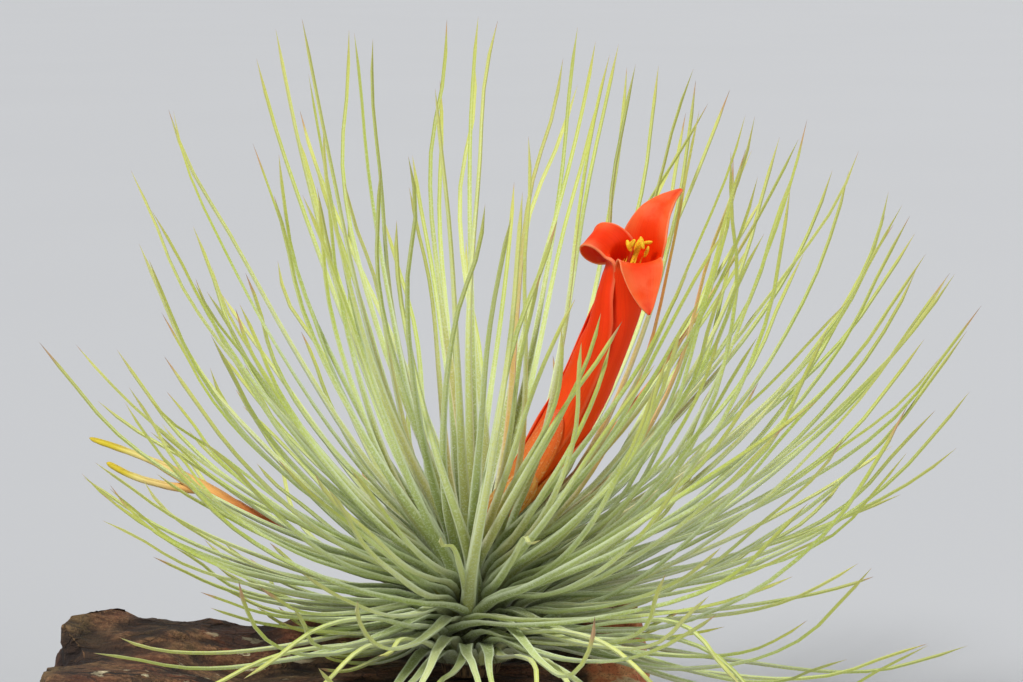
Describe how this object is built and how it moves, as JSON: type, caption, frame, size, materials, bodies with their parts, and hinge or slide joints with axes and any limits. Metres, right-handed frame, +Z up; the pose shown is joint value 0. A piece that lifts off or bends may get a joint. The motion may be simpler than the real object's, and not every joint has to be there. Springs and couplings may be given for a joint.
{
  "type": "air plant",
  "caption": "Pincushion air plant in flower: a rosette of fine tapering leaves around a red tubular bloom, growing on a flat-bottomed piece of bark.",
  "frame": {"origin": "on the bark's flat underside, straight below the plant's stem", "axes": "+Z up, +X along the bark to the picture's right, -Y towards the picture's viewer"},
  "size_m": [0.211, 0.196, 0.1742],
  "materials": {
    "leaf": "matte green with fine white scurf",
    "stem": "matte, old sheath bases",
    "bark": "matte, rough and cracked",
    "stalk": "matte",
    "bract": "matte, papery",
    "sepal": "satin",
    "petal": "satin",
    "stamen": "matte, powdery",
    "withered": "matte, dry"
  },
  "bodies": {
    "root": {"bark_mount": "bark", "stem": "stem", "flower_stalk": "stalk", "flower_bract": "bract", "sepal_back": "sepal", "sepal_right": "sepal", "sepal_left": "sepal", "petal_upper": "petal", "petal_left": "petal", "petal_lower": "petal", "stamen_1": "stamen", "stamen_2": "stamen", "stamen_3": "stamen", "stamen_4": "stamen", "stamen_5": "stamen", "stamen_6": "stamen", "pistil": "stamen", "spent_flower": "withered", "leaves_tier_01_a": "leaf", "leaves_tier_01_b": "leaf", "leaves_tier_02_a": "leaf", "leaves_tier_02_b": "leaf", "leaves_tier_03_a": "leaf", "leaves_tier_03_b": "leaf", "leaves_tier_04_a": "leaf", "leaves_tier_04_b": "leaf", "leaves_tier_05_a": "leaf", "leaves_tier_05_b": "leaf", "leaves_tier_06_a": "leaf", "leaves_tier_06_b": "leaf", "leaves_tier_07_a": "leaf", "leaves_tier_07_b": "leaf", "leaves_tier_08_a": "leaf", "leaves_tier_08_b": "leaf", "leaves_tier_09_a": "leaf", "leaves_tier_09_b": "leaf", "leaves_tier_10_a": "leaf", "leaves_tier_10_b": "leaf", "leaves_tier_11_a": "leaf", "leaves_tier_11_b": "leaf", "leaves_tier_12_a": "leaf", "leaves_tier_12_b": "leaf", "leaves_tier_13_a": "leaf", "leaves_tier_13_b": "leaf", "leaves_tier_14_a": "leaf", "leaves_tier_14_b": "leaf", "leaves_tier_15_a": "leaf", "leaves_tier_15_b": "leaf", "leaves_tier_16_a": "leaf", "leaves_tier_16_b": "leaf", "leaves_tier_17_a": "leaf", "leaves_tier_17_b": "leaf", "leaves_tier_18_a": "leaf", "leaves_tier_18_b": "leaf"}
  },
  "joints": []
}
